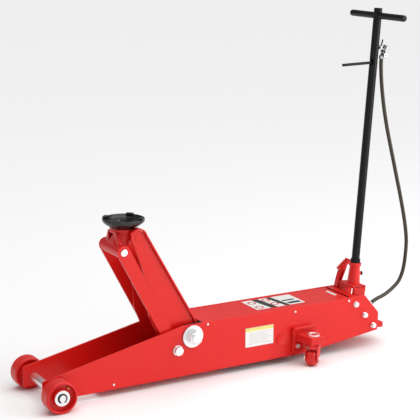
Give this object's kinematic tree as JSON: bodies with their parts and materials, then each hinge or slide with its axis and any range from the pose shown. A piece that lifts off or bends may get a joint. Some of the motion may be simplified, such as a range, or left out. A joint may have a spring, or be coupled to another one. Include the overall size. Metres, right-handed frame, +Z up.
{
  "type": "hydraulic floor jack",
  "caption": "Long-chassis floor jack on front wheels and rear casters with a raised parallel lift arm, swivel saddle, upright handle, hand air valve and foot pedal.",
  "frame": {"origin": "centre of the bounding box, without the air hose, on the floor", "axes": "+X rearward along the chassis from the front wheels to the handle, +Y to the operator's right hand side of the chassis away from the hose, +Z up from the floor"},
  "size_m": [1.6438, 0.3838, 1.3368],
  "materials": {
    "red_paint": "gloss red enamel on plate steel",
    "cast_red": "red enamel over cast iron",
    "black_powder": "semi-gloss black powder coat",
    "zinc": "bright zinc plate",
    "dark_steel": "oiled machined steel",
    "chrome": "polished chrome plate",
    "hose_rubber": "smooth dark olive-brown rubber"
  },
  "bodies": {
    "chassis": {"side_plate_left": "red_paint", "side_plate_right": "red_paint", "top_cover": "red_paint", "rear_deck": "red_paint", "belly_plate": "red_paint", "front_axle": "zinc", "axle_washer_left": "zinc", "axle_washer_right": "zinc", "main_shaft": "zinc", "shaft_washer_left": "zinc", "shaft_washer_right": "zinc", "shaft_nut_left": "zinc", "shaft_nut_right": "zinc", "bar_anchor_bolt_left": "zinc", "bar_anchor_bolt_right": "zinc", "hydraulic_cylinder": "cast_red", "cross_tube": "red_paint", "oil_reservoir": "cast_red", "air_motor": "dark_steel", "pump_block": "cast_red", "pedal_bolt": "zinc", "handle_bolt": "zinc", "block_bolt": "zinc", "tail_bar": "cast_red", "caster_bracket_left": "cast_red", "caster_bracket_right": "cast_red", "hose_fitting": "zinc", "air_hose": "hose_rubber"},
    "lift_arm": {"arm_plate_left": "red_paint", "arm_plate_right": "red_paint", "arm_cover": "red_paint", "arm_hub": "red_paint", "arm_top_pin": "red_paint", "lever_pin": "dark_steel", "lever_roller": "dark_steel"},
    "yoke": {"saddle_yoke": "red_paint", "levelling_pin": "zinc"},
    "saddle_head": {"saddle": "black_powder"},
    "levelling_bars": {"levelling_bar_left": "red_paint", "levelling_bar_right": "red_paint"},
    "ram_rod": {"ram": "dark_steel"},
    "front_roller_left": {"front_wheel_left": "cast_red"},
    "front_roller_right": {"front_wheel_right": "cast_red"},
    "caster_left": {"caster_fork_left": "cast_red", "caster_axle_left": "zinc", "caster_ring_left": "zinc"},
    "caster_right": {"caster_fork_right": "cast_red", "caster_axle_right": "zinc", "caster_ring_right": "zinc"},
    "caster_roller_left": {"caster_wheel_left": "cast_red"},
    "caster_roller_right": {"caster_wheel_right": "cast_red"},
    "handle": {"handle_socket": "red_paint", "handle_tube": "black_powder", "t_bar": "black_powder", "hose_hook": "black_powder", "air_valve": "chrome"},
    "release": {"release_rod": "black_powder"},
    "button": {"valve_button": "chrome"},
    "pedal": {"foot_pedal": "red_paint"},
    "piston": {"pump_piston": "dark_steel"}
  },
  "joints": [
    {"name": "lift", "type": "hinge", "parent": "chassis", "child": "lift_arm", "pos_m": [-0.153, 0, 0.174], "axis": [0, 1, 0], "range_deg": [-74, 0]},
    {"name": "yoke_level", "type": "hinge", "parent": "lift_arm", "child": "yoke", "pos_m": [-0.35914, 0, 0.56498], "axis": [0, 1, 0], "range_deg": [0, 74]},
    {"name": "bars", "type": "hinge", "parent": "chassis", "child": "levelling_bars", "pos_m": [-0.215, 0, 0.129], "axis": [0, 1, 0], "range_deg": [-74, 0]},
    {"name": "saddle_swivel", "type": "hinge", "parent": "yoke", "child": "saddle_head", "pos_m": [-0.384, 0, 0.594], "axis": [0, 0, 1], "continuous": true},
    {"name": "ram_slide", "type": "slide", "parent": "chassis", "child": "ram_rod", "axis": [1, 0, 0], "range_m": [0, 0.1145]},
    {"name": "front_wheel_left_spin", "type": "hinge", "parent": "chassis", "child": "front_roller_left", "pos_m": [-0.707, -0.1446, 0.0585], "axis": [0, 1, 0], "continuous": true},
    {"name": "front_wheel_right_spin", "type": "hinge", "parent": "chassis", "child": "front_roller_right", "pos_m": [-0.707, 0.1446, 0.0585], "axis": [0, 1, 0], "continuous": true},
    {"name": "caster_left_swivel", "type": "hinge", "parent": "chassis", "child": "caster_left", "pos_m": [0.344, -0.152, 0.1], "axis": [0, 0, 1], "continuous": true},
    {"name": "caster_wheel_left_spin", "type": "hinge", "parent": "caster_left", "child": "caster_roller_left", "pos_m": [0.33343, -0.16118, 0.03], "axis": [-0.6561, 0.7547, 0], "continuous": true},
    {"name": "caster_right_swivel", "type": "hinge", "parent": "chassis", "child": "caster_right", "pos_m": [0.344, 0.152, 0.1], "axis": [0, 0, 1], "continuous": true},
    {"name": "caster_wheel_right_spin", "type": "hinge", "parent": "caster_right", "child": "caster_roller_right", "pos_m": [0.33343, 0.16118, 0.03], "axis": [0.6561, 0.7547, 0], "continuous": true},
    {"name": "handle_tilt", "type": "hinge", "parent": "chassis", "child": "handle", "pos_m": [0.626, 0, 0.139], "axis": [0, 1, 0], "range_deg": [0, 50], "deforming": ["air_hose"]},
    {"name": "pump_stroke", "type": "slide", "parent": "chassis", "child": "piston", "axis": [0, 0, 1], "range_m": [0, 0.024]},
    {"name": "release_twist", "type": "hinge", "parent": "handle", "child": "release", "pos_m": [0.626, 0, 0.139], "axis": [0.075, 0, 0.9972], "range_deg": [-25, 25]},
    {"name": "valve_press", "type": "slide", "parent": "handle", "child": "button", "axis": [0.4384, 0, 0.8988], "range_m": [-0.0025, 0], "stiffness_N_per_m": 1500},
    {"name": "pedal_press", "type": "hinge", "parent": "chassis", "child": "pedal", "pos_m": [0.581, 0.07, 0.189], "axis": [0, 1, 0], "range_deg": [0, 45], "stiffness_Nm_per_rad": 4, "springref_deg": -8.59}
  ],
  "couplings": [
    {"joint": "yoke_level", "follows": "lift", "ratio": -1},
    {"joint": "bars", "follows": "lift", "ratio": 1},
    {"joint": "ram_slide", "follows": "lift", "m_per_rad": -0.08853},
    {"joint": "pump_stroke", "follows": "handle_tilt", "m_per_rad": 0.02708}
  ]
}
